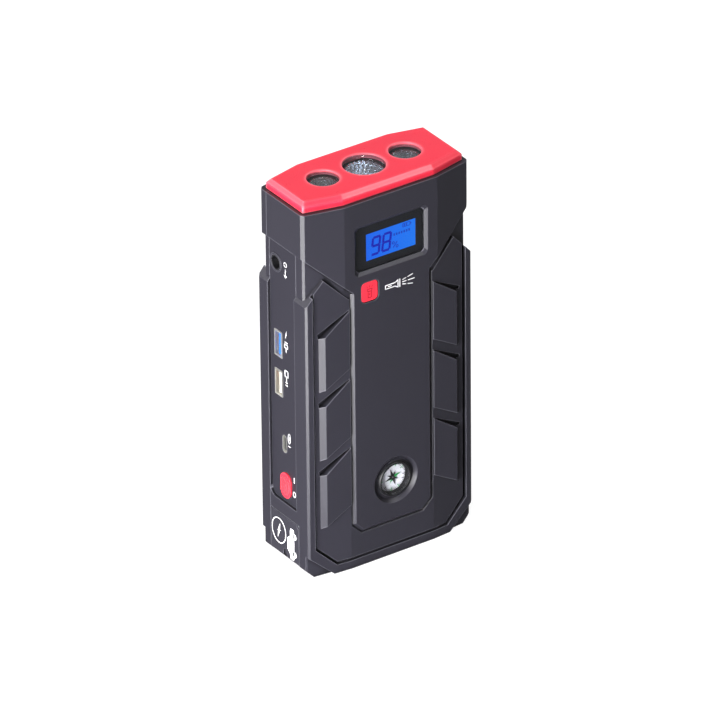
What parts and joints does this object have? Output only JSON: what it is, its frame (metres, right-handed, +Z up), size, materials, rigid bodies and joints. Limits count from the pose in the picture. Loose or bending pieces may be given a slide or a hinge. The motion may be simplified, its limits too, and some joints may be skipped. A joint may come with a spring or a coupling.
{
  "type": "jump starter pack",
  "caption": "Tall hand-held car jump starter pack: dark armoured case with grip fins, red torch cap, blue display, compass, charging ports and a hinged cover over the starting socket.",
  "frame": {"origin": "middle of the underside, where the pack stands", "axes": "+Z up to the torch cap, +X to the right of the front face, -Y out of the front face with the display; the ports are on the -X side"},
  "size_m": [0.09, 0.042, 0.192],
  "materials": {
    "case": "fine satin moulding grain",
    "port_plate": "fine satin moulding grain",
    "cap": "satin gloss moulding",
    "button": "translucent moulding",
    "lens": "clear polished polycarbonate",
    "reflector": "vacuum metallised",
    "window": "smoked acrylic",
    "lcd": "lit display glass",
    "white_moulding": "plain moulding",
    "blue_moulding": "plain moulding",
    "black_moulding": "plain moulding",
    "board": "solder mask",
    "nickel": "nickel plated",
    "steel": "zinc plated",
    "copper": "rolled copper",
    "pouch": "laminated foil",
    "foam": "closed-cell foam",
    "rubber": "soft satin rubber",
    "chip": "phosphor gel",
    "dial": "printed card",
    "clear": "clear polished acrylic"
  },
  "bodies": {
    "case": {"front_shell": "case", "rear_shell": "case", "torch_cap": "cap", "port_plate": "port_plate", "left_lens": "lens", "centre_lens": "lens", "right_lens": "lens", "left_reflector": "reflector", "centre_reflector": "reflector", "right_reflector": "reflector", "lamp_chips": "chip", "lamp_board": "board", "display_window": "window", "lcd_glass": "lcd", "lcd_backlight": "white_moulding", "front_board": "board", "torch_switch": "black_moulding", "compass_cup": "black_moulding", "compass_ring": "black_moulding", "compass_dome": "clear", "compass_pivot": "steel", "fast_usb_shell": "nickel", "fast_usb_tongue": "blue_moulding", "plain_usb_shell": "nickel", "plain_usb_tongue": "white_moulding", "usb_risers": "black_moulding", "usb_c_shell": "nickel", "usb_c_tongue": "black_moulding", "output_jack": "black_moulding", "output_jack_pin": "nickel", "power_switch": "black_moulding", "port_board": "board", "power_parts": "black_moulding", "starting_socket": "black_moulding", "socket_contacts": "copper", "cover_pin": "steel", "cell_1": "pouch", "cell_2": "pouch", "cell_3": "pouch", "cell_4": "pouch", "cell_tabs": "copper", "series_links": "copper", "negative_bar": "copper", "positive_bar": "copper", "front_foam": "foam", "rear_foam": "foam", "case_screws": "steel"},
    "torch_button": {"torch_button": "button"},
    "power_button": {"power_button": "button"},
    "socket_cover": {"socket_cover": "rubber"},
    "compass_card": {"compass_card": "dial"}
  },
  "joints": [
    {"name": "torch_button_press", "type": "slide", "parent": "case", "child": "torch_button", "axis": [0, 1, 0], "range_m": [0, 0.0006], "stiffness_N_per_m": 400},
    {"name": "power_button_press", "type": "slide", "parent": "case", "child": "power_button", "axis": [1, 0, 0], "range_m": [0, 0.0006], "stiffness_N_per_m": 400},
    {"name": "socket_cover_hinge", "type": "hinge", "parent": "case", "child": "socket_cover", "pos_m": [-0.0438, 0.00015, 0.0238], "axis": [0, 1, 0], "range_deg": [0, 88]},
    {"name": "compass_turn", "type": "hinge", "parent": "case", "child": "compass_card", "pos_m": [0.0015, -0.0179, 0.0386], "axis": [0, 1, 0], "continuous": true}
  ]
}
